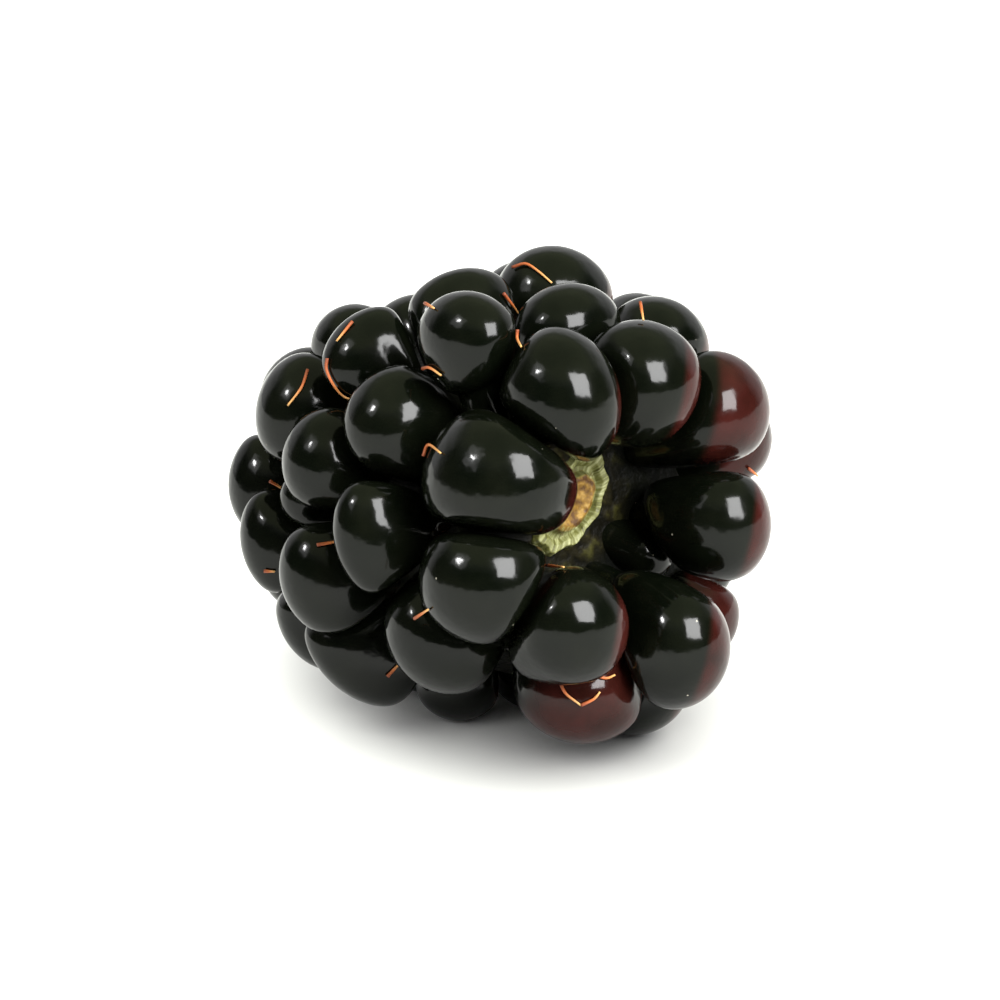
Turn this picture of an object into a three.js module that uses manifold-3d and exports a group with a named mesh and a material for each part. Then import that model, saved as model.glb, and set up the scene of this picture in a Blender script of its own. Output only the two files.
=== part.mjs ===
// A ripe bramble berry (blackberry) lying on its side, as picked.
// Some sixty drupelets stand shoulder to shoulder on a smaller core.
// The stem end points along +X and is tipped up a little.
// There the drupelets leave a hollow, in which the pale receptacle shows
// with the brown scar of the stem.
// Millimetres, +Z up, resting plane at z = 0.

import * as THREE from 'three';
import { mergeVertices } from 'three/addons/utils/BufferGeometryUtils.js';
import Module from 'manifold-3d';

const wasm = await Module();
wasm.setup();

// ---------------------------------------------------------------- sizes

// Stations are measured along the berry's long axis and grow toward the stem.
// The drupelets' middles lie close to an oval round that axis,
// and each drupelet leans as the oval's surface does.
const WAIST = 0.8;        // station where the oval is widest
const MID_RADIUS = 8.6;   // its radius there
const STEM_HALF = 10.2;   // its half length toward the stem
const TIP_HALF = 13.6;    // and toward the tip
const LEAN = 1.15;        // drupelets lean a little more than the oval

// How the berry lies
const STEM_UP = 13;       // degrees that the stem end is tipped up
const REST_HEIGHT = 8.75; // height of the axis at station 0 over the surface
const CENTRE_X = -0.70;   // middle of the whole berry, seen from above
const CENTRE_Y = -0.13;
const BELOW = [60, 60, 10]; // a block under the surface, wider than the berry

// One drupelet
const DOME = 0.50;        // height of its dome, as a share of its width
const ROOT = 6.0;         // how deep its root reaches, well into the core
const REACH = 0.97;       // how nearly it fills its share of the way to a neighbour
const SQUARENESS = 7;     // low is a ball, high is a sharp-edged cell
const NEIGHBOUR = 9;      // drupelets farther apart than this don't meet
const STALK = 0.5;        // width of the stalk under it, as a share of its width
const AROUND = 12;        // facets round a drupelet
const CUTS = [180, 132, 102, 78, 54, 28, 0]; // its rings, degrees from its top

// Core, receptacle, and the pocket that the receptacle sits in
const CORE_FACETS = 18;
const RECEPTACLE_OFFSET = [-0.5, 0.45]; // its middle, off the long axis
const RECEPTACLE_OVAL = [1, 0.9, 1.1]; // narrower across and taller than round
const RECEPTACLE_SLANT = 0.5;          // and its top leans to the far side
const CLEARANCE = 0.4;    // round the plug before it is made oval
const MOUTH_STATION = 9;  // the pocket opens this far up, clear of the drupelets
const MOUTH_RADIUS = 2.6;
const FACETS = 36;
const LOBES = 9;          // scallops round the receptacle's face
const LOBE_DEPTH = 0.09;  // as a share of its radius
const LOBE_STATIONS = [3.5, 5.6]; // they fade in between these stations
const LOBE_RADII = [1.1, 1.6];    // and between these radii, round the scar

// ---------------------------------------------------------------- drupelets

// Rings from the stem end to the tip. One drupelet is
//   [turn, station, radius, across, along, twist, nod, swing]
// Turn is in degrees round the long axis, 0 on top and 90 on the near side.
// Radius is its middle's distance from the long axis.
// Across and along are its widths round the berry and along it,
// and twist turns those two in degrees.
// Crowding tips its dome: nod is toward the stem and swing is round the axis, in degrees.
const SHOULDER = [
  [65, 8.4, 5.8, 7.1, 6.4, 5, 5, -5],
  [25, 9.4, 6.1, 4.9, 5.9, 5, -10, -10],
  [-16, 8.7, 5.5, 5.7, 5.3, -5, 15, 5],
  [-56, 8.2, 6.2, 5.1, 5.2, 0, 0, 0],
  [-103, 9.0, 4.5, 5.2, 4.4, -10, -10, 5],
  [-168, 9.7, 5.7, 4.6, 5.5, 15, -20, 5],
  [134, 10.0, 5.3, 5.3, 4.8, 0, 20, 0],
  [102, 8.6, 6.7, 5.4, 5.6, 5, 10, -10],
];
// A stunted one, deep in the hollow beside the receptacle
const STUNTED = [-131, 5.9, 3.5, 2.2, 2.6, 0, 0, 0];
const SECOND = [
  [55, 3.5, 8.4, 5.0, 4.2, 0, -20, -20],
  [31, 6.5, 9.4, 3.6, 4.7, -15, -20, -20],
  [-4, 5.3, 7.2, 5.2, 4.2, -5, -5, 0],
  [-39, 5.0, 7.5, 4.8, 4.8, 0, -5, 0],
  [-78, 4.7, 7.9, 4.4, 4.4, 0, 0, 0],
  [-108, 4.4, 7.6, 4.5, 4.3, 0, 0, 0],
  [-136, 4.3, 7.8, 4.5, 4.0, 0, 0, 0],
  [167, 6.7, 6.8, 6.1, 5.3, -5, -5, 0],
  [119, 5.0, 7.6, 5.8, 4.9, 0, -10, 0],
  [87, 4.2, 8.8, 5.4, 3.0, 0, -20, 10],
];
const THIRD = [
  [69, 0.2, 9.0, 4.7, 4.0, 0, -5, 0],
  [39, 0.0, 9.3, 4.7, 3.0, 10, -20, -10],
  [16, 1.4, 8.4, 5.6, 3.6, 5, 0, 0],
  [-22, 0.0, 8.5, 5.4, 4.7, 5, 0, -10],
  [153, -0.1, 7.9, 4.0, 3.1, 0, 0, 5],
  [122, -0.5, 8.7, 6.5, 3.6, -15, -5, 5],
  [99, 0.5, 9.3, 5.4, 3.8, -5, -15, 5],
];
const FOURTH = [
  [80, -2.3, 8.5, 2.6, 2.6, 0, 0, 0],
  [56, -3.6, 8.5, 5.5, 4.5, 0, 10, 15],
  [31, -4.4, 8.2, 3.8, 3.9, 0, 0, 0],
  [6, -5.2, 6.5, 4.8, 4.4, 0, 0, 0],
  [118, -4.2, 8.2, 5.3, 3.4, 0, 0, -5],
  [93, -4.1, 8.7, 5.2, 3.2, -10, -10, 5],
];
const FIFTH = [
  [78, -7.4, 7.3, 5.1, 3.6, -5, 5, 0],
  [47, -7.0, 7.1, 4.6, 4.5, 0, 0, 0],
  [14, -8.3, 6.2, 4.2, 4.0, 0, 0, 0],
  [108, -7.0, 6.6, 4.4, 4.4, 0, 0, 0],
];
const TIP = [0, -12.7, 0, 4.6, 4.6, 0, 0, 0];

// The rest of each ring runs on evenly round the far side and the underside,
//   [station, turn of the one before, turn of the one after, count, across, along]
const ARCS = [
  [5.0, -137, -194, 1, 5.0, 5.0],
  [0.0, -23, -207, 5, 5.6, 5.4],
  [-3.7, 4, -241, 6, 5.5, 5.2],
  [-7.5, 8, -252, 7, 5.3, 5.0],
  [-10.8, 28, -404, 5, 5.3, 5.0],
];
const SINK = 0.1;         // those middles lie this far inside the oval
const LOWEST = 2.60;      // and at least this high over the surface

// The shoulder's drupelets are splayed out over the hollow.
const SPLAY = 1.46;

function radial(turn) {
  const angle = THREE.MathUtils.degToRad(turn);
  return new THREE.Vector3(0, -Math.sin(angle), Math.cos(angle));
}

function makeDrupelet([turn, station, radius, across, along, twist, nod, swing], splay) {
  const rise = LEAN * (station - WAIST) / halfLength(station) ** 2;
  const lean = splay * Math.atan2(rise, radius / MID_RADIUS ** 2)
    + THREE.MathUtils.degToRad(nod);
  const spin = THREE.MathUtils.degToRad(-twist);

  const axis = new THREE.Vector3(1, 0, 0);
  const middle = new THREE.Vector3(station, 0, 0).addScaledVector(radial(turn), radius);
  const out = new THREE.Vector3()
    .addScaledVector(radial(turn + swing), Math.cos(lean))
    .addScaledVector(axis, Math.sin(lean));
  const up = new THREE.Vector3()
    .addScaledVector(radial(turn + swing), -Math.sin(lean))
    .addScaledVector(axis, Math.cos(lean));
  const side = new THREE.Vector3().crossVectors(out, up);
  up.applyAxisAngle(out, spin);
  side.applyAxisAngle(out, spin);

  const size = Math.sqrt(across * along);
  return { middle, side, up, out, across, along, size };
}

function halfLength(station) {
  return station > WAIST ? STEM_HALF : TIP_HALF;
}

// Radius of a drupelet's middle on the oval, or nearer the axis on the underside
function seat(turn, station) {
  const oval = MID_RADIUS * Math.sqrt(1 - ((station - WAIST) / halfLength(station)) ** 2) - SINK;
  const tip = THREE.MathUtils.degToRad(STEM_UP);
  const fall = -Math.cos(THREE.MathUtils.degToRad(turn)) * Math.cos(tip);
  if (fall <= 0) return oval;
  return Math.min(oval, (REST_HEIGHT + station * Math.sin(tip) - LOWEST) / fall);
}

function arc([station, before, after, count, across, along]) {
  return Array.from({ length: count }, (_, i) => {
    const turn = before + (after - before) * (i + 1) / (count + 1);
    return [turn, station, seat(turn, station), across, along, 0, 0, 0];
  });
}

const drupelets = [
  ...SHOULDER.map((row) => makeDrupelet(row, SPLAY)),
  ...[STUNTED, ...SECOND, ...THIRD, ...FOURTH, ...FIFTH, TIP, ...ARCS.flatMap(arc)]
    .map((row) => makeDrupelet(row, 1)),
];

// Distance from a drupelet's middle to its skin, in direction d (unit length).
// It is an egg with a long root, pressed flat where neighbours crowd it,
// and where they crowd it from below, a stalk still holds it to the core.
function skinDistance(drupelet, d) {
  const x = d.dot(drupelet.side) / (drupelet.across / 2);
  const y = d.dot(drupelet.up) / (drupelet.along / 2);
  const height = d.dot(drupelet.out);
  const z = height / (height > 0 ? DOME * drupelet.size : ROOT);
  let sum = Math.hypot(x, y, z) ** SQUARENESS;
  for (const other of drupelets) {
    const toOther = other.middle.clone().sub(drupelet.middle);
    const gap = toOther.length();
    if (other === drupelet || gap > NEIGHBOUR) continue;
    const share = REACH * gap * drupelet.size / (drupelet.size + other.size);
    const push = d.dot(toOther) / gap / share;
    if (push > 0) sum += push ** SQUARENESS;
  }
  const skin = sum ** (-1 / SQUARENESS);
  if (height > 0) return skin;
  const stalk = 1 / Math.hypot(
    x * drupelet.across / drupelet.size / STALK,
    y * drupelet.along / drupelet.size / STALK,
    z,
  );
  return Math.max(skin, stalk);
}

function drupeletGeometry(drupelet) {
  const outline = CUTS.map((cut) => new THREE.Vector2(0, 1).rotateAround(
    new THREE.Vector2(), THREE.MathUtils.degToRad(-cut)));
  outline[0].x = 0;
  const geometry = new THREE.LatheGeometry(outline, AROUND);
  const points = geometry.attributes.position;
  const d = new THREE.Vector3();
  for (let i = 0; i < points.count; i += 1) {
    d.set(0, 0, 0)
      .addScaledVector(drupelet.side, points.getX(i))
      .addScaledVector(drupelet.out, points.getY(i))
      .addScaledVector(drupelet.up, points.getZ(i))
      .normalize();
    d.multiplyScalar(skinDistance(drupelet, d)).add(drupelet.middle);
    points.setXYZ(i, d.x, d.y, d.z);
  }
  return geometry;
}

// ---------------------------------------------------------------- core and receptacle

// A turned shape along the long axis, from [station, radius] pairs
function turned(profile, facets) {
  const points = profile.map(([station, radius]) => new THREE.Vector2(radius, station));
  const geometry = new THREE.LatheGeometry(points, facets);
  geometry.rotateZ(-Math.PI / 2);
  return geometry;
}

// The core stands 1.3 mm and more under the drupelets' middles.
const CORE = [
  [-12.2, 0],
  [-11.2, 2.8],
  [-8.0, 5.6],
  [-3.0, 7.1],
  [2.5, 7.2],
  [5.0, 6.1],
  [5.7, 4.2],
  [5.3, 0],
];

// The receptacle is a tapered plug. Its face has a raised, lobed edge,
// and the scar of the stem stands in the middle like a worn button.
const WIDEST = 5;         // the place of its widest pair
const RECEPTACLE = [
  [-2.0, 0],
  [-1.8, 0.9],
  [-1.0, 1.3],
  [2.0, 1.6],
  [4.6, 1.75],
  [5.6, 1.9],
  [5.95, 1.75],
  [5.9, 1.5],
  [5.6, 1.3],
  [5.65, 1.1],
  [6.1, 1.0],
  [6.25, 0.75],
  [6.1, 0.4],
  [6.15, 0],
];

function lobe(geometry) {
  const points = geometry.attributes.position;
  for (let i = 0; i < points.count; i += 1) {
    const x = points.getX(i);
    const y = points.getY(i);
    const z = points.getZ(i);
    const radius = Math.hypot(y, z);
    const share = THREE.MathUtils.smoothstep(x, ...LOBE_STATIONS)
      * THREE.MathUtils.smoothstep(radius, ...LOBE_RADII);
    const scale = 1 - LOBE_DEPTH * share * (0.5 + 0.5 * Math.cos(LOBES * Math.atan2(z, y)));
    points.setXYZ(i, x, y * scale, z * scale);
  }
  return geometry;
}

// The pocket follows the plug up to its widest place and then opens outward.
const POCKET = [
  ...RECEPTACLE.slice(0, WIDEST + 1)
    .map(([station, radius]) => [station - CLEARANCE, radius > 0 ? radius + CLEARANCE : 0]),
  [MOUTH_STATION, MOUTH_RADIUS],
  [MOUTH_STATION, 0],
];

// ---------------------------------------------------------------- solids

const MERGE = 1e-4;       // points nearer than this are one

function toSolid(source) {
  const bare = source.index ? source.toNonIndexed() : source.clone();
  bare.deleteAttribute('normal');
  bare.deleteAttribute('uv');
  const geometry = mergeVertices(bare, MERGE);
  const triVerts = Array.from(geometry.index.array).filter((_, i, all) => {
    const t = i - (i % 3);
    return all[t] !== all[t + 1] && all[t + 1] !== all[t + 2] && all[t] !== all[t + 2];
  });
  const mesh = new wasm.Mesh({
    numProp: 3,
    vertProperties: Float32Array.from(geometry.attributes.position.array),
    triVerts: Uint32Array.from(triVerts),
  });
  return new wasm.Manifold(mesh);
}

function toGeometry(solid) {
  const mesh = solid.getMesh();
  const geometry = new THREE.BufferGeometry();
  const points = new THREE.Float32BufferAttribute(Array.from(mesh.vertProperties), 3);
  geometry.setAttribute('position', points);
  geometry.setIndex(Array.from(mesh.triVerts));
  geometry.computeVertexNormals();
  return geometry;
}

// Tip the berry to the way it lies, and lift it onto the surface.
function lay(geometry) {
  geometry.rotateY(THREE.MathUtils.degToRad(-STEM_UP));
  geometry.translate(-CENTRE_X, -CENTRE_Y, REST_HEIGHT);
  return geometry;
}

// Make the plug or its pocket oval, and set it off the long axis.
function offAxis(geometry) {
  const slant = new THREE.Matrix4().makeShear(0, 0, 0, 0, 0, RECEPTACLE_SLANT);
  geometry.scale(...RECEPTACLE_OVAL);
  geometry.applyMatrix4(slant);
  return geometry.translate(0, ...RECEPTACLE_OFFSET);
}

let berry = toSolid(lay(turned(CORE, CORE_FACETS)));
for (const drupelet of drupelets) {
  berry = berry.add(toSolid(lay(drupeletGeometry(drupelet))));
}
berry = berry.subtract(toSolid(lay(offAxis(turned(POCKET, FACETS)))));

// The lowest drupelets are pressed flat on the surface.
const below = new THREE.BoxGeometry(...BELOW);
below.translate(0, 0, -BELOW[2] / 2);
berry = berry.subtract(toSolid(below));

const plug = toSolid(lay(offAxis(lobe(turned(RECEPTACLE, FACETS)))));

// ---------------------------------------------------------------- group

const skin = new THREE.MeshStandardMaterial({
  name: 'glossy drupelet skin',
  color: '#17110f',
  roughness: 0.14,
  metalness: 0,
});
const flesh = new THREE.MeshStandardMaterial({
  name: 'pale receptacle flesh',
  color: '#a8a167',
  roughness: 0.6,
  metalness: 0,
});

function piece(name, solid, material) {
  const mesh = new THREE.Mesh(toGeometry(solid), material);
  mesh.name = name;
  return mesh;
}

const bramble = new THREE.Group();
bramble.name = 'bramble_berry';
bramble.add(piece('drupelets', berry, skin));
bramble.add(piece('receptacle', plug, flesh));

export default bramble;
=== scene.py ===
"""A ripe bramble berry on its side: glossy drupelets, dried styles, pale receptacle."""

import math
import random

import bpy
import numpy as np
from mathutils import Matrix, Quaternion, Vector


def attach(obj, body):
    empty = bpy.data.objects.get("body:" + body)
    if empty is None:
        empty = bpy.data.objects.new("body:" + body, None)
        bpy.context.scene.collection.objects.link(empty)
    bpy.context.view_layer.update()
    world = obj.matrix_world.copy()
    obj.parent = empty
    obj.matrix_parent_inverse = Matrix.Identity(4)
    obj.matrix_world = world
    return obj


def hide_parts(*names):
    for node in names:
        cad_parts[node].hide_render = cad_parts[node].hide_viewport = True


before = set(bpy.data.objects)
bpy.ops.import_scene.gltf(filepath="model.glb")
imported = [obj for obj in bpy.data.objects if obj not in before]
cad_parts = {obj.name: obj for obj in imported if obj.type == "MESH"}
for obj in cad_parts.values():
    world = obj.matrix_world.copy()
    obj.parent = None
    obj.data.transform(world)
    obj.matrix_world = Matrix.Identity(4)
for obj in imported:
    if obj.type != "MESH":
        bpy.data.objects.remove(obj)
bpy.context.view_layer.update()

draw = random.Random(7)

MM = 0.001

# ------------------------------------------------------------------ the berry's layout
# Sizes are in mm. Stations run along the long axis toward the stem, as in the
# part's source, and the drupelets' middles lie close to an oval round that axis.

WAIST = 0.8               # station where the oval is widest
MID_RADIUS = 8.6          # its radius there
STEM_HALF = 10.2          # its half length toward the stem
TIP_HALF = 13.6           # and toward the tip
LEAN = 1.15               # drupelets lean a little more than the oval
SPLAY = 1.46              # and those of the shoulder more than the rest

STEM_UP = 13              # degrees that the stem end is tipped up
REST_HEIGHT = 8.75        # height of the axis at station 0 over the card
CENTRE = (-0.70, -0.13)   # middle of the whole berry, seen from above

DOME = 0.50               # height of a drupelet's dome, as a share of its width
ROOT = 6.0                # how deep its root reaches, well into the core
REACH = 0.97              # how nearly it fills its share of the way to a neighbour
SQUARENESS = 7            # low is a ball, high is a sharp-edged cell
NEIGHBOUR = 9             # drupelets farther apart than this don't meet
STALK = 0.5               # width of the stalk under it, as a share of its width

RECEPTACLE_OFFSET = (-0.5, 0.45)  # its middle, off the long axis

# [turn, station, radius, across, along, twist, nod, swing], with angles in degrees
SHOULDER = [
    (65, 8.4, 5.8, 7.1, 6.4, 5, 5, -5),
    (25, 9.4, 6.1, 4.9, 5.9, 5, -10, -10),
    (-16, 8.7, 5.5, 5.7, 5.3, -5, 15, 5),
    (-56, 8.2, 6.2, 5.1, 5.2, 0, 0, 0),
    (-103, 9.0, 4.5, 5.2, 4.4, -10, -10, 5),
    (-168, 9.7, 5.7, 4.6, 5.5, 15, -20, 5),
    (134, 10.0, 5.3, 5.3, 4.8, 0, 20, 0),
    (102, 8.6, 6.7, 5.4, 5.6, 5, 10, -10),
]
STUNTED = (-131, 5.9, 3.5, 2.2, 2.6, 0, 0, 0)
SECOND = [
    (55, 3.5, 8.4, 5.0, 4.2, 0, -20, -20),
    (31, 6.5, 9.4, 3.6, 4.7, -15, -20, -20),
    (-4, 5.3, 7.2, 5.2, 4.2, -5, -5, 0),
    (-39, 5.0, 7.5, 4.8, 4.8, 0, -5, 0),
    (-78, 4.7, 7.9, 4.4, 4.4, 0, 0, 0),
    (-108, 4.4, 7.6, 4.5, 4.3, 0, 0, 0),
    (-136, 4.3, 7.8, 4.5, 4.0, 0, 0, 0),
    (167, 6.7, 6.8, 6.1, 5.3, -5, -5, 0),
    (119, 5.0, 7.6, 5.8, 4.9, 0, -10, 0),
    (87, 4.2, 8.8, 5.4, 3.0, 0, -20, 10),
]
THIRD = [
    (69, 0.2, 9.0, 4.7, 4.0, 0, -5, 0),
    (39, 0.0, 9.3, 4.7, 3.0, 10, -20, -10),
    (16, 1.4, 8.4, 5.6, 3.6, 5, 0, 0),
    (-22, 0.0, 8.5, 5.4, 4.7, 5, 0, -10),
    (153, -0.1, 7.9, 4.0, 3.1, 0, 0, 5),
    (122, -0.5, 8.7, 6.5, 3.6, -15, -5, 5),
    (99, 0.5, 9.3, 5.4, 3.8, -5, -15, 5),
]
FOURTH = [
    (80, -2.3, 8.5, 2.6, 2.6, 0, 0, 0),
    (56, -3.6, 8.5, 5.5, 4.5, 0, 10, 15),
    (31, -4.4, 8.2, 3.8, 3.9, 0, 0, 0),
    (6, -5.2, 6.5, 4.8, 4.4, 0, 0, 0),
    (118, -4.2, 8.2, 5.3, 3.4, 0, 0, -5),
    (93, -4.1, 8.7, 5.2, 3.2, -10, -10, 5),
]
FIFTH = [
    (78, -7.4, 7.3, 5.1, 3.6, -5, 5, 0),
    (47, -7.0, 7.1, 4.6, 4.5, 0, 0, 0),
    (14, -8.3, 6.2, 4.2, 4.0, 0, 0, 0),
    (108, -7.0, 6.6, 4.4, 4.4, 0, 0, 0),
]
TIP = (0, -12.7, 0, 4.6, 4.6, 0, 0, 0)

# The rest of each ring runs on evenly round the far side and the underside:
# (station, turn of the one before, turn of the one after, count, across, along)
ARCS = [
    (5.0, -137, -194, 1, 5.0, 5.0),
    (0.0, -23, -207, 5, 5.6, 5.4),
    (-3.7, 4, -241, 6, 5.5, 5.2),
    (-7.5, 8, -252, 7, 5.3, 5.0),
    (-10.8, 28, -404, 5, 5.3, 5.0),
]
SINK = 0.1                # those middles lie this far inside the oval
LOWEST = 2.60             # and at least this high over the card

LONG_AXIS = np.array([1.0, 0.0, 0.0])


def half_length(station):
    return STEM_HALF if station > WAIST else TIP_HALF


def seat(turn, station):
    oval = MID_RADIUS * math.sqrt(1 - ((station - WAIST) / half_length(station)) ** 2) - SINK
    tip = math.radians(STEM_UP)
    fall = -math.cos(math.radians(turn)) * math.cos(tip)
    if fall <= 0:
        return oval
    return min(oval, (REST_HEIGHT + station * math.sin(tip) - LOWEST) / fall)


def arc(station, before, after, count, across, along):
    for i in range(count):
        turn = before + (after - before) * (i + 1) / (count + 1)
        yield turn, station, seat(turn, station), across, along, 0, 0, 0


def radial(turn):
    angle = math.radians(turn)
    return np.array([0.0, -math.sin(angle), math.cos(angle)])


class Drupelet:
    """One drupelet: its middle, its directions side, up and out, and its widths, in mm."""

    def __init__(self, row, splay=1.0):
        turn, station, radius, self.across, self.along, twist, nod, swing = row
        rise = LEAN * (station - WAIST) / half_length(station) ** 2
        lean = splay * math.atan2(rise, radius / MID_RADIUS**2) + math.radians(nod)
        spin = math.radians(twist)
        self.out = math.cos(lean) * radial(turn + swing) + math.sin(lean) * LONG_AXIS
        up = -math.sin(lean) * radial(turn + swing) + math.cos(lean) * LONG_AXIS
        side = np.cross(self.out, up)
        self.side = math.cos(spin) * side + math.sin(spin) * up
        self.up = -math.sin(spin) * side + math.cos(spin) * up
        self.size = math.sqrt(self.across * self.along)
        self.middle = station * LONG_AXIS + radius * radial(turn)


RINGS = {"Shoulder": [Drupelet(row, SPLAY) for row in SHOULDER] + [Drupelet(STUNTED)]}
ROWS = {"SecondRing": SECOND, "ThirdRing": THIRD, "FourthRing": FOURTH, "FifthRing": FIFTH, "Tip": []}
for (name, rows), rest in zip(ROWS.items(), ARCS):
    RINGS[name] = [Drupelet(row) for row in [*rows, *arc(*rest)]]
RINGS["Tip"].append(Drupelet(TIP))
DRUPELETS = [one for ring in RINGS.values() for one in ring]


def skin_points(one, directions):
    """Points of a drupelet's skin in the berry's own frame, one for each unit direction."""
    x = directions @ one.side / (one.across / 2)
    y = directions @ one.up / (one.along / 2)
    height = directions @ one.out
    z = height / np.where(height > 0, DOME * one.size, ROOT)
    total = np.sqrt(x * x + y * y + z * z) ** SQUARENESS
    for other in DRUPELETS:
        to_other = other.middle - one.middle
        gap = np.linalg.norm(to_other)
        if other is one or gap > NEIGHBOUR:
            continue
        share = REACH * gap * one.size / (one.size + other.size)
        total += np.maximum(0, directions @ to_other / gap / share) ** SQUARENESS
    skin = total ** (-1 / SQUARENESS)
    stalk = 1 / np.sqrt(
        (x * one.across / one.size / STALK) ** 2
        + (y * one.along / one.size / STALK) ** 2
        + z * z
    )
    reach = np.where(height > 0, skin, np.maximum(skin, stalk))
    return one.middle + directions * reach[:, None]


def laid(points):
    """From the berry's own frame to the way it lies, in metres."""
    tip = math.radians(STEM_UP)
    x = points[:, 0] * math.cos(tip) - points[:, 2] * math.sin(tip) - CENTRE[0]
    y = points[:, 1] - CENTRE[1]
    z = points[:, 0] * math.sin(tip) + points[:, 2] * math.cos(tip) + REST_HEIGHT
    return np.stack([x, y, z], 1) * MM


# ------------------------------------------------------------------ meshes

AROUND = 84               # faces round a drupelet
DOWN = 56                 # and from its top to its root
PIECES = []


def make_piece(name, points, faces, material, node):
    """A smooth piece on the berry's body, in place of a node."""
    mesh = bpy.data.meshes.new(name)
    mesh.from_pydata([tuple(p) for p in points], [], faces)
    mesh.validate()
    mesh.update()
    mesh.polygons.foreach_set("use_smooth", [True] * len(mesh.polygons))
    piece = bpy.data.objects.new(name, mesh)
    bpy.context.scene.collection.objects.link(piece)
    mesh.materials.append(material)
    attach(piece, "root")
    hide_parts(node)
    PIECES.append(piece)
    return piece


def set_values(piece, name, values):
    piece.data.attributes.new(name, "FLOAT", "POINT").data.foreach_set("value", values)


def joined(shapes):
    """Several (points, faces) as one."""
    points = []
    faces = []
    start = 0
    for own_points, own_faces in shapes:
        points.append(own_points)
        faces += [tuple(start + v for v in face) for face in own_faces]
        start += len(own_points)
    return np.concatenate(points), faces


def smoothstep(values, limits):
    t = np.clip((values - limits[0]) / (limits[1] - limits[0]), 0, 1)
    return t * t * (3 - 2 * t)


def pointing(turns, drops):
    """Unit directions in (side, up, out), at these angles about out and down from it."""
    side = np.sin(drops) * np.cos(turns)
    up = np.sin(drops) * np.sin(turns)
    return np.stack([side, up, np.cos(drops)], 1)


def ball_grid():
    """Unit directions of a ball in (side, up, out), top first, and its faces."""
    turns = np.arange(AROUND) * 2 * math.pi / AROUND
    drops = np.arange(1, DOWN) * math.pi / DOWN
    rings = pointing(np.tile(turns, len(drops)), np.repeat(drops, AROUND))
    grid = np.concatenate([[(0, 0, 1)], rings, [(0, 0, -1)]])
    faces = []
    for i in range(AROUND):
        j = (i + 1) % AROUND
        faces.append((0, 1 + i, 1 + j))
        for k in range(DOWN - 2):
            a = 1 + k * AROUND
            b = a + AROUND
            faces.append((a + i, b + i, b + j, a + j))
        a = 1 + (DOWN - 2) * AROUND
        faces.append((len(grid) - 1, a + j, a + i))
    return grid, faces


GRID, GRID_FACES = ball_grid()

# Painted light: a red glow, as of the right-hand lamps shining through the skin, is painted on the side
# of each drupelet that faces them. Shares of each drupelet, in ring order;
# the drupelets that follow in a ring draw theirs at random.
# painted light: this direction points to the lamps on the right, and each drupelet's red glow lies on its
# side toward them
RED_GLOW_SIDE = np.array([0.30, 0.90, -0.30])
RED_GLOW_SHARES = {
    "Shoulder": [0.16, 0.17, 0.27, 0.60, 0.32, 0.36, 0.22, 0.14, 0.05],
    "SecondRing": [0.05, 0.05, 0.10, 0.15, 0.60, 0.60, 0.70, 0.95, 0.05, 0.05],
    "ThirdRing": [0.05, 0.05, 0.05, 0.15, 0.10, 0.05, 0.05],
    "FourthRing": [0.0, 0.05, 0.05, 0.10, 0.05, 0.05],
    "FifthRing": [0.05, 0.05, 0.10, 0.05],
    "Tip": [],
}
DRAWN_GLOW_SHARES = (0.05, 0.55)
RED_EDGE = 0.16


def painted_red_glow(share, directions):
    """0 to 1 over a drupelet: painted red glow on its side toward the lamps on the right, up to a fairly
    sharp edge.
    """
    edge = 1 - 2 * share
    return smoothstep(directions @ RED_GLOW_SIDE, (edge, edge + RED_EDGE))


def ring_piece(name, ring, shares, material):
    shapes = []
    reds = []
    for i, one in enumerate(ring):
        share = shares[i] if i < len(shares) else draw.uniform(*DRAWN_GLOW_SHARES)
        directions = GRID @ np.stack([one.side, one.up, one.out])
        skin = laid(skin_points(one, directions))
        skin[:, 2] = np.maximum(skin[:, 2], 0)
        shapes.append((skin, GRID_FACES))
        reds.append(painted_red_glow(share, directions))
    points, faces = joined(shapes)
    piece = make_piece(name + "Drupelets", points, faces, material, "drupelets")
    set_values(piece, "painted_red_glow", np.concatenate(reds))


# ------------------------------------------------------------------ materials


def linear(code):
    """The linear colour of an sRGB hex code."""
    values = [int(code[i : i + 2], 16) / 255 for i in (1, 3, 5)]
    return [v / 12.92 if v <= 0.04045 else ((v + 0.055) / 1.055) ** 2.4 for v in values] + [1.0]


def new_material(name, **settings):
    material = bpy.data.materials.new(name)
    material.use_nodes = True
    shader = material.node_tree.nodes["Principled BSDF"]
    for key, value in settings.items():
        shader.inputs[key.replace("_", " ")].default_value = value
    return material, material.node_tree, shader


def add(tree, kind, links=(), stops=(), **settings):
    """A node with its settings. A link is (its input, another node's output or the
    value or hex code to set there), and stops are a colour ramp's (place, hex code)."""
    node = tree.nodes.new(kind)
    for key, value in settings.items():
        if hasattr(node, key):
            setattr(node, key, value)
        else:
            node.inputs[key.replace("_", " ")].default_value = value
    for socket, source in links:
        if isinstance(source, bpy.types.NodeSocket):
            tree.links.new(source, node.inputs[socket])
        else:
            node.inputs[socket].default_value = linear(source) if isinstance(source, str) else source
    if stops:
        elements = node.color_ramp.elements
        elements[0].position, elements[-1].position = stops[0][0], stops[-1][0]
        for place, _ in stops[1:-1]:
            elements.new(place)
        for element, (_, code) in zip(elements, stops):
            element.color = linear(code)
    return node


def per_mm(pitch):
    """Texture scale, per metre, of marks about this many mm apart."""
    return 1 / (pitch * MM)


CLOUD_PITCH = 1.6         # clouds of deeper and paler colour in the skin
SWELL_PITCH = 1.0         # and slight swells that bend the lamps' reflections
SWELL_HEIGHT = 0.12
DUST_PITCH = 0.9          # cells that may each hold one speck of dust
DUST_EDGE = (0.055, 0.035)  # a speck's rim, as a share of its cell
DUST_FREE = 0.86          # share of the cells without one


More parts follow.
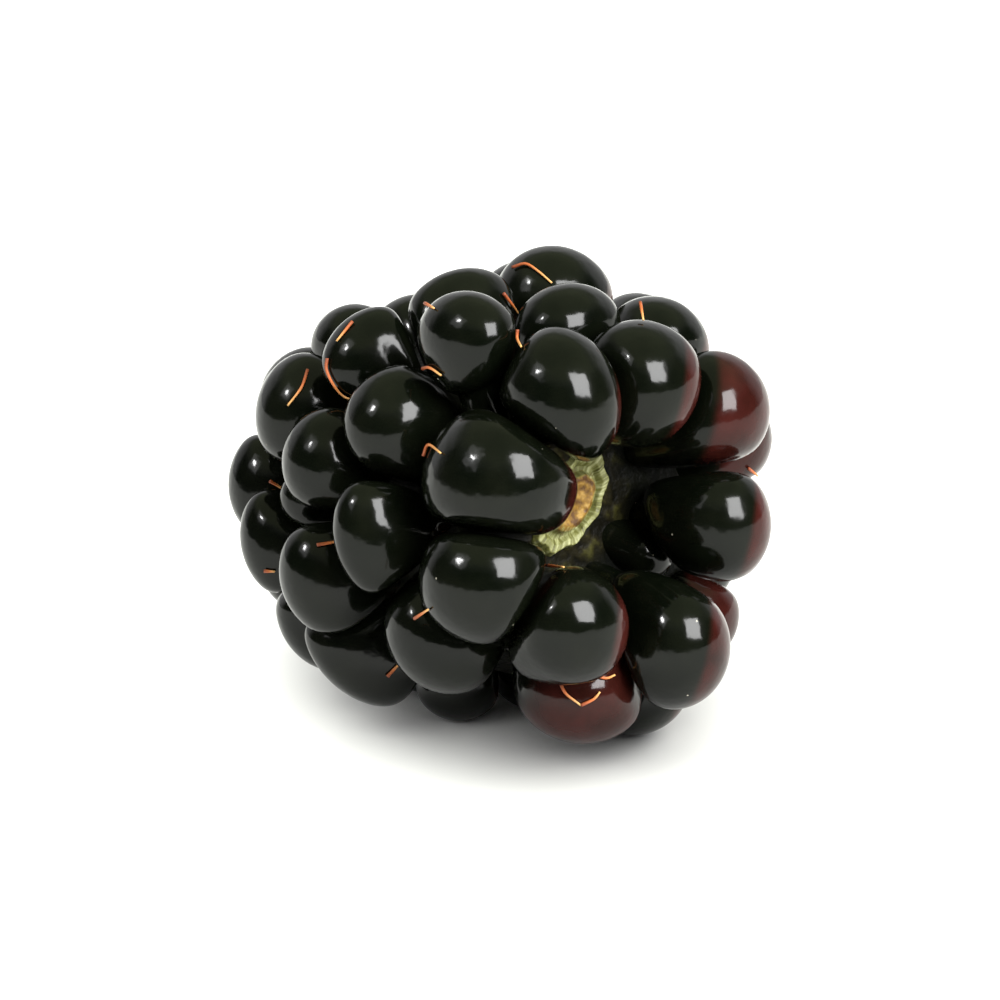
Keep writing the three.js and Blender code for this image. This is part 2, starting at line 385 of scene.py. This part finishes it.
def drupelet_skin():
    """Ripe skin over dark juice: near black, taut and waxy, so each lamp shows
    as a crisp shape, with a red glow painted on where the lamps on the right would shine through it."""
    material, tree, shader = new_material(
        "bramble skin, ripe and glossy",
        Roughness=0.5,
        Specular_IOR_Level=0.0,
        Coat_Weight=0.8,
        Coat_IOR=1.31,
    )
    place = add(tree, "ShaderNodeTexCoord").outputs["Object"]
    red = add(tree, "ShaderNodeAttribute", attribute_name="painted_red_glow")
    cloud = add(tree, "ShaderNodeTexNoise", [("Vector", place)], Scale=per_mm(CLOUD_PITCH), Detail=2.0)
    cloud = cloud.outputs["Fac"]
    dark = add(tree, "ShaderNodeValToRGB", [("Fac", cloud)], [(0.35, "#040603"), (0.70, "#090b06")])
    # painted light: the red of the right-hand lamps' glow through the skin, mixed in where the painted
    # red glow attribute is high
    red_glow_ramp = add(tree, "ShaderNodeValToRGB", [("Fac", cloud)], [(0.30, "#1c0906"), (0.75, "#30110e")])
    skin_colour = add(
        tree,
        "ShaderNodeMix",
        [("Factor", red.outputs["Fac"]), ("A", dark.outputs["Color"]), ("B", red_glow_ramp.outputs["Color"])],
        data_type="RGBA",
    )

    grain = add(tree, "ShaderNodeTexVoronoi", [("Vector", place)], Scale=per_mm(DUST_PITCH))
    speck = add(
        tree,
        "ShaderNodeMapRange",
        [("Value", grain.outputs["Distance"])],
        From_Min=DUST_EDGE[0],
        From_Max=DUST_EDGE[1],
    )
    chance = add(tree, "ShaderNodeSeparateColor", [("Color", grain.outputs["Color"])])
    dusty = add(
        tree,
        "ShaderNodeMath",
        [(0, chance.outputs["Red"]), (1, DUST_FREE)],
        operation="GREATER_THAN",
    )
    dust = add(
        tree,
        "ShaderNodeMath",
        [(0, speck.outputs["Result"]), (1, dusty.outputs["Value"])],
        operation="MULTIPLY",
    )
    colour = add(
        tree,
        "ShaderNodeMix",
        [("Factor", dust.outputs["Value"]), ("A", skin_colour.outputs["Result"]), ("B", "#8a867a")],
        data_type="RGBA",
    )
    tree.links.new(colour.outputs["Result"], shader.inputs["Base Color"])

    swell = add(tree, "ShaderNodeTexNoise", [("Vector", place)], Scale=per_mm(SWELL_PITCH), Detail=2.0)
    bump = add(
        tree,
        "ShaderNodeBump",
        [("Height", swell.outputs["Fac"])],
        Strength=0.3,
        Distance=SWELL_HEIGHT * MM,
    )
    gloss = add(tree, "ShaderNodeMapRange", [("Value", cloud)], To_Min=0.10, To_Max=0.16)
    tree.links.new(gloss.outputs["Result"], shader.inputs["Coat Roughness"])
    tree.links.new(bump.outputs["Normal"], shader.inputs["Normal"])
    tree.links.new(bump.outputs["Normal"], shader.inputs["Coat Normal"])
    return material


TISSUE_PITCH = 0.8        # folds of the wet core
TISSUE_HEIGHT = 0.25
OLIVE_STATION = 6.2       # the core is olive round this place on the receptacle's axis
OLIVE_REACH = (3.2, 2.0)  # from this far out, and fully from this far in


def dark_flesh():
    """The core between the drupelets: wet tissue, painted near black as the shade far down in the
    creases, and olive where it meets the receptacle."""
    material, tree, shader = new_material(
        "core flesh, wet, painted crease shade", Roughness=0.45, Specular_IOR_Level=0.05
    )
    place = add(tree, "ShaderNodeTexCoord").outputs["Object"]
    folds = add(tree, "ShaderNodeTexNoise", [("Vector", place)], Scale=per_mm(TISSUE_PITCH), Detail=4.0)
    folds = folds.outputs["Fac"]
    # painted shade: this near-black colour stands in for the shade far down in the creases between
    # drupelets
    deep = add(tree, "ShaderNodeValToRGB", [("Fac", folds)], [(0.35, "#030403"), (0.75, "#0b0c06")])
    olive = add(
        tree,
        "ShaderNodeValToRGB",
        [("Fac", folds)],
        [(0.40, "#080703"), (0.55, "#1a170a"), (0.70, "#3c3a1a")],
    )
    middle = laid(np.array([(OLIVE_STATION, *RECEPTACLE_OFFSET)]))[0]
    reach = add(tree, "ShaderNodeVectorMath", [(0, place), (1, middle)], operation="DISTANCE")
    near = add(
        tree,
        "ShaderNodeMapRange",
        [("Value", reach.outputs["Value"])],
        From_Min=OLIVE_REACH[0] * MM,
        From_Max=OLIVE_REACH[1] * MM,
    )
    colour = add(
        tree,
        "ShaderNodeMix",
        [("Factor", near.outputs["Result"]), ("A", deep.outputs["Color"]), ("B", olive.outputs["Color"])],
        data_type="RGBA",
    )
    tree.links.new(colour.outputs["Result"], shader.inputs["Base Color"])
    bump = add(tree, "ShaderNodeBump", [("Height", folds)], Strength=0.8, Distance=TISSUE_HEIGHT * MM)
    tree.links.new(bump.outputs["Normal"], shader.inputs["Normal"])
    return material


FIBRES_AROUND = 44        # so a fibre is about 0.27 wide at the receptacle's rim
CRUMB_PITCH = 0.35        # of the spongy scar
CRUMB_HEIGHT = 0.12
SCAR_EDGE = (1.35, 1.60)  # radius plus crumb, where the ochre ends and the green is full


def pale_flesh():
    """The receptacle: pale green fibres that run out from a rough ochre scar."""
    material, tree, shader = new_material("receptacle flesh, fibrous and damp", Roughness=0.5)
    place = add(tree, "ShaderNodeTexCoord").outputs["Object"]
    fibre = add(tree, "ShaderNodeAttribute", attribute_name="fibre")
    off_axis = add(tree, "ShaderNodeAttribute", attribute_name="off_axis")
    strand = add(
        tree,
        "ShaderNodeTexNoise",
        [("Vector", fibre.outputs["Vector"])],
        Scale=FIBRES_AROUND / (2 * math.pi),
        Detail=6.0,
        Roughness=0.75,
        Distortion=0.6,
    ).outputs["Fac"]
    pale = add(
        tree,
        "ShaderNodeValToRGB",
        [("Fac", strand)],
        [(0.34, "#3c3b18"), (0.50, "#676832"), (0.68, "#a6a87c")],
    )
    crumb = add(tree, "ShaderNodeTexNoise", [("Vector", place)], Scale=per_mm(CRUMB_PITCH), Detail=4.0)
    crumb = crumb.outputs["Fac"]
    ochre = add(
        tree,
        "ShaderNodeValToRGB",
        [("Fac", crumb)],
        [(0.35, "#4a2e0b"), (0.52, "#7c5b17"), (0.70, "#a88842")],
    )
    ragged = add(tree, "ShaderNodeMath", [(0, crumb), (1, off_axis.outputs["Fac"])], operation="ADD")
    outside = add(
        tree,
        "ShaderNodeMapRange",
        [("Value", ragged.outputs["Value"])],
        From_Min=SCAR_EDGE[0],
        From_Max=SCAR_EDGE[1],
    )
    share = outside.outputs["Result"]
    colour = add(
        tree,
        "ShaderNodeMix",
        [("Factor", share), ("A", ochre.outputs["Color"]), ("B", pale.outputs["Color"])],
        data_type="RGBA",
    )
    tree.links.new(colour.outputs["Result"], shader.inputs["Base Color"])
    relief = add(tree, "ShaderNodeMath", [(0, crumb), (1, strand)], operation="ADD")
    bump = add(
        tree,
        "ShaderNodeBump",
        [("Height", relief.outputs["Value"])],
        Strength=0.7,
        Distance=CRUMB_HEIGHT * MM,
    )
    tree.links.new(bump.outputs["Normal"], shader.inputs["Normal"])
    return material


def dried_style():
    """Dried styles: thin brittle stalks, orange brown and paler toward one end."""
    material, tree, shader = new_material("dried style, papery", Roughness=0.6)
    along = add(tree, "ShaderNodeAttribute", attribute_name="along")
    colour = add(
        tree,
        "ShaderNodeValToRGB",
        [("Fac", along.outputs["Fac"])],
        [(0.0, "#6b2c10"), (0.45, "#a8551f"), (1.0, "#c79a5c")],
    )
    tree.links.new(colour.outputs["Color"], shader.inputs["Base Color"])
    return material


FIBRE_PITCH = 1.11        # of the card, far coarser than paper's, which is too fine to show
FIBRE_HEIGHT = 0.1


def card_paper():
    """Matt white card: an even, soft white with no gloss."""
    material, tree, shader = new_material(
        "white card, matt", Base_Color=linear("#f2f2f1"), Roughness=0.9
    )
    place = add(tree, "ShaderNodeTexCoord").outputs["Object"]
    fibre = add(tree, "ShaderNodeTexNoise", [("Vector", place)], Scale=per_mm(FIBRE_PITCH), Detail=3.0)
    bump = add(
        tree,
        "ShaderNodeBump",
        [("Height", fibre.outputs["Fac"])],
        Strength=0.02,
        Distance=FIBRE_HEIGHT * MM,
    )
    tree.links.new(bump.outputs["Normal"], shader.inputs["Normal"])
    return material


skin = drupelet_skin()
for name, ring in RINGS.items():
    ring_piece(name, ring, RED_GLOW_SHARES[name], skin)

# ------------------------------------------------------------------ core and receptacle
# Outlines of the turned shapes, as (station, radius)

CORE = [(-12.2, 0), (-11.2, 2.8), (-8.0, 5.6), (-3.0, 7.1), (2.5, 7.2), (5.0, 6.1), (5.7, 4.2), (5.3, 0)]
RECEPTACLE = [
    (-2.0, 0), (-1.8, 0.9), (-1.0, 1.3), (2.0, 1.6), (4.6, 1.75), (5.6, 1.9), (5.95, 1.75),
    (5.9, 1.5), (5.6, 1.3), (5.65, 1.1), (6.1, 1.0), (6.25, 0.75), (6.1, 0.4), (6.15, 0),
]
CORE_AROUND = 64
RECEPTACLE_AROUND = 180
OUTLINE_STEPS = 5         # from one point of the receptacle's outline to the next

LOBES = 9                 # scallops round the receptacle's face
LOBE_DEPTH = 0.09         # as a share of its radius
LOBE_STATIONS = (3.5, 5.6)  # they fade in between these stations
LOBE_RADII = (1.1, 1.6)   # and between these radii, round the scar
OVAL = (0.9, 1.1)         # the plug is narrower across and taller than round
OVAL_SLANT = 0.5          # and its top leans to the far side
STRANDS = 31              # fine ridges round it
STRAND_RELIEF = 0.010     # as a share of its radius
FIBRE_RUN = 0.05          # the fibres' pattern changes this slowly along them


def turned(profile, around):
    """A turned shape along the long axis: its points and faces."""
    points = []
    for station, radius in profile:
        for i in range(around if radius else 1):
            turn = i * 2 * math.pi / around
            points.append((station, -radius * math.sin(turn), radius * math.cos(turn)))
    rows = []
    at = 0
    for _, radius in profile:
        count = around if radius else 1
        rows.append(list(range(at, at + count)))
        at += count
    faces = []
    for low, high in zip(rows, rows[1:]):
        for i in range(around):
            a, b = low[i % len(low)], low[(i + 1) % len(low)]
            c, d = high[(i + 1) % len(high)], high[i % len(high)]
            faces.append([v for k, v in enumerate((a, b, c, d)) if v not in (a, b, c, d)[:k]])
    return np.array(points), [tuple(f) for f in faces if len(f) > 2]


def core():
    points, faces = turned(CORE, CORE_AROUND)
    make_piece("Core", laid(points), faces, dark_flesh(), "drupelets")


def receptacle():
    fine = [RECEPTACLE[0]]
    for (s0, r0), (s1, r1) in zip(RECEPTACLE, RECEPTACLE[1:]):
        for k in range(1, OUTLINE_STEPS + 1):
            part = k / OUTLINE_STEPS
            fine.append((s0 + (s1 - s0) * part, r0 + (r1 - r0) * part))
    points, faces = turned(fine, RECEPTACLE_AROUND)
    turn = np.arctan2(points[:, 2], points[:, 1])
    radius = np.hypot(points[:, 1], points[:, 2])
    share = smoothstep(points[:, 0], LOBE_STATIONS) * smoothstep(radius, LOBE_RADII)
    wander = 4 * np.sin(3 * turn) + 2 * np.sin(7 * turn)
    scale = 1 - LOBE_DEPTH * share * (0.5 + 0.5 * np.cos(LOBES * turn))
    scale -= STRAND_RELIEF * share * np.cos(STRANDS * turn + wander)
    tall = points[:, 2] * scale * OVAL[1]
    points[:, 1] = points[:, 1] * scale * OVAL[0] + OVAL_SLANT * tall + RECEPTACLE_OFFSET[0]
    points[:, 2] = tall + RECEPTACLE_OFFSET[1]
    flesh = pale_flesh()
    piece = make_piece("Receptacle", laid(points), faces, flesh, "receptacle")
    set_values(piece, "off_axis", radius)
    fibre = np.stack([np.cos(turn), np.sin(turn), FIBRE_RUN * (radius + points[:, 0])], 1)
    values = piece.data.attributes.new("fibre", "FLOAT_VECTOR", "POINT").data
    values.foreach_set("vector", fibre.ravel())


core()
receptacle()

# ------------------------------------------------------------------ where the camera stands

AZIMUTH = 58.6
ELEVATION = 20
DISTANCE = 260 * MM
AIM = Vector((-CENTRE[0] * MM, -CENTRE[1] * MM, REST_HEIGHT * MM))
LENS = 220.9              # mm, on a sensor of SENSOR mm
SENSOR = 36
SHIFT = (-0.0124, 0.0009)
PICTURE = 1000            # pixels across
CLIP = (0.01, 20)         # metres


def away(bearing, height):
    """The way out from the berry at a bearing to the right of the camera and a
    height, in degrees."""
    turn = math.radians(AZIMUTH + bearing)
    rise = math.radians(height)
    level = math.cos(rise)
    return Vector((math.sin(turn) * level, -math.cos(turn) * level, math.sin(rise)))


BACK = away(0, ELEVATION)
RIGHT = away(90, 0)

# ------------------------------------------------------------------ dried styles

STYLE_RADIUS = 0.075
STYLE_TAPER = 0.45        # share of it that is lost on the way
STYLE_SIDES = 8
STYLE_STEPS = 7           # from one stop to the next

# The styles that the camera sees: (ring, number in it, route), with the route's
# stops in pixels across and down its picture.
SEEN_STYLES = [
    ("ThirdRing", 1, [(330, 358), (329, 368), (335, 381), (344, 393), (357, 399)]),
    ("FourthRing", 1, [(308, 372), (302, 389), (289, 406)]),
    ("ThirdRing", 1, [(354, 324), (339, 342)]),
    ("SecondRing", 1, [(427, 305), (436, 310)]),
    ("SecondRing", 1, [(425, 367), (432, 366), (443, 373)]),
    ("Shoulder", 0, [(426, 457), (431, 446), (443, 454)]),
    ("ThirdRing", 2, [(501, 295), (509, 306), (515, 314)]),
    ("FifthRing", 0, [(270, 481), (282, 488)]),
    ("ThirdRing", 3, [(514, 269), (527, 266), (539, 273), (552, 284)]),
    ("Shoulder", 2, [(640, 305), (643, 323)]),
    ("Shoulder", 1, [(519, 332), (519, 341), (523, 349)]),
    ("SecondRing", 4, [(747, 467), (756, 474)]),
    ("ThirdRing", 6, [(318, 547), (330, 545), (341, 543)]),
    ("FourthRing", 5, [(266, 569), (276, 569)]),
    ("Shoulder", 7, [(417, 617), (431, 608)]),
    ("ThirdRing", 5, [(386, 674), (398, 661)]),
    ("SecondRing", 7, [(562, 684), (567, 693), (581, 704)]),
    ("SecondRing", 7, [(581, 704), (593, 698), (599, 691)]),
    ("SecondRing", 7, [(593, 675), (605, 678), (613, 675)]),
    ("Shoulder", 6, [(548, 568), (564, 570)]),
]
SEEN_HEIGHT = 0.12        # over the skin
SEARCH = 4.5              # either side of a drupelet's middle
SEARCH_STEPS = 181

FAR_SIDE_CHANCE = 0.6     # share of the other drupelets that keep a style
# Its place and shape on a drupelet, in degrees and mm
FAR_TURNS = (-125, -55)   # where it springs from, on the side toward the tip
FAR_BENDS = (-30, 30)     # how far round it turns on its way
FAR_DROPS = (50, 80)      # from the drupelet's top to the style's middle
FAR_ENDS = (12, 14)       # and from there down to its root and up to its end
FAR_HEIGHTS = (0.02, 0.2, 0.15)  # over the skin, at its root, middle and end


def over_skin(one, stops):
    """Points in the berry's frame, at these turns, drops and heights over a drupelet."""
    turns, drops, heights = np.array(stops, float).T
    directions = pointing(np.radians(turns), np.radians(drops))
    directions = directions @ np.stack([one.side, one.up, one.out])
    return skin_points(one, directions) + directions * heights[:, None]


def in_berry_frame(vector):
    """A direction, or a place from the berry's middle, back in the berry's own frame."""
    tip = math.radians(STEM_UP)
    x, y, z = vector
    along = x * math.cos(tip) + z * math.sin(tip)
    return np.array([along, y, -x * math.sin(tip) + z * math.cos(tip)])


def seen_on(one, pixel):
    """The point just over a drupelet's skin that the camera sees at a pixel. Where it
    sees past the drupelet, the point stands off the skin by the gap between them."""
    focal = LENS / SENSOR * PICTURE
    across = pixel[0] - PICTURE * (0.5 - SHIFT[0])
    down = pixel[1] - PICTURE * (0.5 + SHIFT[1])
    ray = (RIGHT * across - BACK.cross(RIGHT) * down) / focal - BACK
    start = in_berry_frame(BACK * (DISTANCE / MM))
    ray = in_berry_frame(ray.normalized())
    nearest = (one.middle - start) @ ray
    places = start + np.outer(nearest + np.linspace(-SEARCH, SEARCH, SEARCH_STEPS), ray)
    out = places - one.middle
    far = np.linalg.norm(out, axis=1)
    directions = out / far[:, None]
    clear = far - np.linalg.norm(skin_points(one, directions) - one.middle, axis=1)
    hit = np.argmax(clear < 0) if (clear < 0).any() else np.argmin(clear)
    height = SEEN_HEIGHT + max(0, clear[hit])
    return one.middle + directions[hit] * (far[hit] - clear[hit] + height)


def curve_through(stops, steps):
    """A smooth route through the stops (Catmull-Rom)."""
    stops = np.concatenate([[2 * stops[0] - stops[1]], stops, [2 * stops[-1] - stops[-2]]])
    route = []
    for a, b, c, d in zip(stops, stops[1:], stops[2:], stops[3:]):
        for k in range(steps):
            t = k / steps
            bend = (2 * a - 5 * b + 4 * c - d) * t**2 + (3 * b - a - 3 * c + d) * t**3
            route.append(0.5 * (2 * b + (c - a) * t + bend))
    route.append(stops[-2])
    return np.array(route)


ASKEW = (0.3, 0.5, 0.8)   # a direction that no route starts along


def tube(route, radius, sides):
    """A closed round tube along a route, thinner toward its end, and its faces."""
    tangents = np.gradient(route, axis=0)
    tangents /= np.linalg.norm(tangents, axis=1)[:, None]
    normal = np.cross(tangents[0], ASKEW)
    points = [route[0]]
    for i, (at, tangent) in enumerate(zip(route, tangents)):
        normal = normal - (normal @ tangent) * tangent
        normal /= np.linalg.norm(normal)
        across = np.cross(tangent, normal)
        width = radius * (1 - STYLE_TAPER * i / (len(route) - 1))
        for k in range(sides):
            turn = 2 * math.pi * k / sides
            points.append(at + width * (math.cos(turn) * normal + math.sin(turn) * across))
    points.append(route[-1])
    faces = []
    for k in range(sides):
        j = (k + 1) % sides
        faces.append((0, 1 + j, 1 + k))
        for i in range(len(route) - 1):
            a = 1 + i * sides
            b = a + sides
            faces.append((a + k, a + j, b + j, b + k))
        a = 1 + (len(route) - 1) * sides
        faces.append((len(points) - 1, a + k, a + j))
    return np.array(points), faces


def far_side_stops():
    """A short style that springs from a drupelet's tip-facing edge and curls back."""
    turn = draw.uniform(*FAR_TURNS)
    bend = draw.uniform(*FAR_BENDS)
    drop = draw.uniform(*FAR_DROPS)
    turns = (turn, turn + bend / 2, turn + bend)
    drops = (drop + FAR_ENDS[0], drop, drop - FAR_ENDS[1])
    return list(zip(turns, drops, FAR_HEIGHTS))


def styles():
    routes = [
        np.array([seen_on(RINGS[ring][number], pixel) for pixel in route])
        for ring, number, route in SEEN_STYLES
    ]
    for name, ring in RINGS.items():
        for one in ring[len(RED_GLOW_SHARES[name]) :]:
            if draw.random() < FAR_SIDE_CHANCE:
                routes.append(over_skin(one, far_side_stops()))
    shapes = [tube(curve_through(stops, STYLE_STEPS), STYLE_RADIUS, STYLE_SIDES) for stops in routes]
    points, faces = joined(shapes)
    piece = make_piece("DriedStyles", laid(points), faces, dried_style(), "drupelets")
    along = [np.linspace(0, 1, len(own_points)) for own_points, _ in shapes]
    set_values(piece, "along", np.concatenate(along))


styles()

# ------------------------------------------------------------------ card, lamps and room

CARD_HALF = 2             # metres from its middle to an edge


def white_card():
    mesh = bpy.data.meshes.new("Floor")
    corners = [(-1, -1), (1, -1), (1, 1), (-1, 1)]
    mesh.from_pydata([(x * CARD_HALF, y * CARD_HALF, 0) for x, y in corners], [], [(0, 1, 2, 3)])
    floor = bpy.data.objects.new("Floor", mesh)
    mesh.materials.append(card_paper())
    bpy.context.scene.collection.objects.link(floor)
    return floor


def collection(name, things):
    group = bpy.data.collections.new(name)
    for thing in things:
        group.objects.link(thing)
    return group


def soft_lamp(name, bearing, height, distance, size, power, lit, roll=0):
    """An area lamp that lights one collection, with its bearing to the right of the
    camera, height and roll in degrees, distance and size in metres and power in watts."""
    light = bpy.data.lights.new(name, "AREA")
    light.shape = "RECTANGLE"
    light.size, light.size_y = size
    light.energy = power
    lamp = bpy.data.objects.new(name, light)
    toward = away(bearing, height)
    lamp.location = AIM + toward * distance
    turn = (-toward).to_track_quat("-Z", "Y") @ Quaternion((0, 0, 1), math.radians(roll))
    lamp.rotation_euler = turn.to_euler()
    bpy.context.scene.collection.objects.link(lamp)
    lamp.light_linking.receiver_collection = lit
    return lamp


# The three lamps on the berry are flagged off the card. Light from above lights
# the card alone, and the gloss doesn't mirror it: it leaves the contact shadow.
berry = collection("Berry", PIECES)
card = collection("Card", [white_card()])
soft_lamp("SoftboxRight", 42, 36, 1.5, (0.88, 0.96), 72, berry, roll=-14)
soft_lamp("UmbrellaLeft", -62, 42, 1.5, (0.62, 0.62), 2.8, berry)
soft_lamp("UmbrellaBulb", -62, 42, 1.4, (0.13, 0.13), 7.0, berry)
overhead = soft_lamp("OverheadSilk", 0, 89.9, 1.0, (4, 4), 135, card)
overhead.visible_glossy = False

# Brightness of the room's parts, with the lit card at about 1
ROOM = 0.06
CEILING = 0.72
BACKDROP = 1.1
# Where they fade in, as the height or forward part of a direction of length 1
CEILING_FADE = (0.45, 0.80)
BACKDROP_TOP = (0.70, 0.45)
BACKDROP_SIDES = (0.15, 0.55)


def studio_world():
    """White backdrop behind the berry, a dim ceiling over it and a dark room in front."""
    world = bpy.data.worlds.new("Studio")
    bpy.context.scene.world = world
    world.use_nodes = True
    tree = world.node_tree
    direction = add(tree, "ShaderNodeTexCoord").outputs["Generated"]
    height = add(tree, "ShaderNodeSeparateXYZ", [("Vector", direction)]).outputs["Z"]
    forward = add(
        tree,
        "ShaderNodeVectorMath",
        [(0, direction), (1, -away(0, 0))],
        operation="DOT_PRODUCT",
    ).outputs["Value"]
    fades = ((height, CEILING_FADE), (forward, BACKDROP_SIDES), (height, BACKDROP_TOP))
    above, behind, low = [
        add(
            tree,
            "ShaderNodeMapRange",
            [("Value", value)],
            interpolation_type="SMOOTHSTEP",
            From_Min=start,
            From_Max=full,
        ).outputs["Result"]
        for value, (start, full) in fades
    ]
    ceiling = add(tree, "ShaderNodeMapRange", [("Value", above)], To_Min=ROOM, To_Max=CEILING)
    both = add(tree, "ShaderNodeMath", [(0, behind), (1, low)], operation="MULTIPLY")
    backdrop = add(
        tree,
        "ShaderNodeMath",
        [(0, both.outputs["Value"]), (1, BACKDROP)],
        operation="MULTIPLY",
    )
    total = add(
        tree,
        "ShaderNodeMath",
        [(0, ceiling.outputs["Result"]), (1, backdrop.outputs["Value"])],
        operation="ADD",
    )
    colour = add(
        tree,
        "ShaderNodeMix",
        [("Factor", above), ("A", "#ffffff"), ("B", "#f2fbd0")],
        data_type="RGBA",
    )
    background = tree.nodes["Background"]
    tree.links.new(colour.outputs["Result"], background.inputs["Color"])
    tree.links.new(total.outputs["Value"], background.inputs["Strength"])


def stand_camera():
    view = bpy.data.cameras.new("Camera")
    view.sensor_width = SENSOR
    view.lens = LENS
    view.shift_x, view.shift_y = SHIFT
    view.clip_start, view.clip_end = CLIP
    camera = bpy.data.objects.new("Camera", view)
    bpy.context.scene.collection.objects.link(camera)
    camera.location = AIM + BACK * DISTANCE
    camera.rotation_euler = (-BACK).to_track_quat("-Z", "Y").to_euler()
    bpy.context.scene.camera = camera


studio_world()
stand_camera()
bpy.context.scene.view_settings.view_transform = "Standard"

bpy.context.view_layer.update()
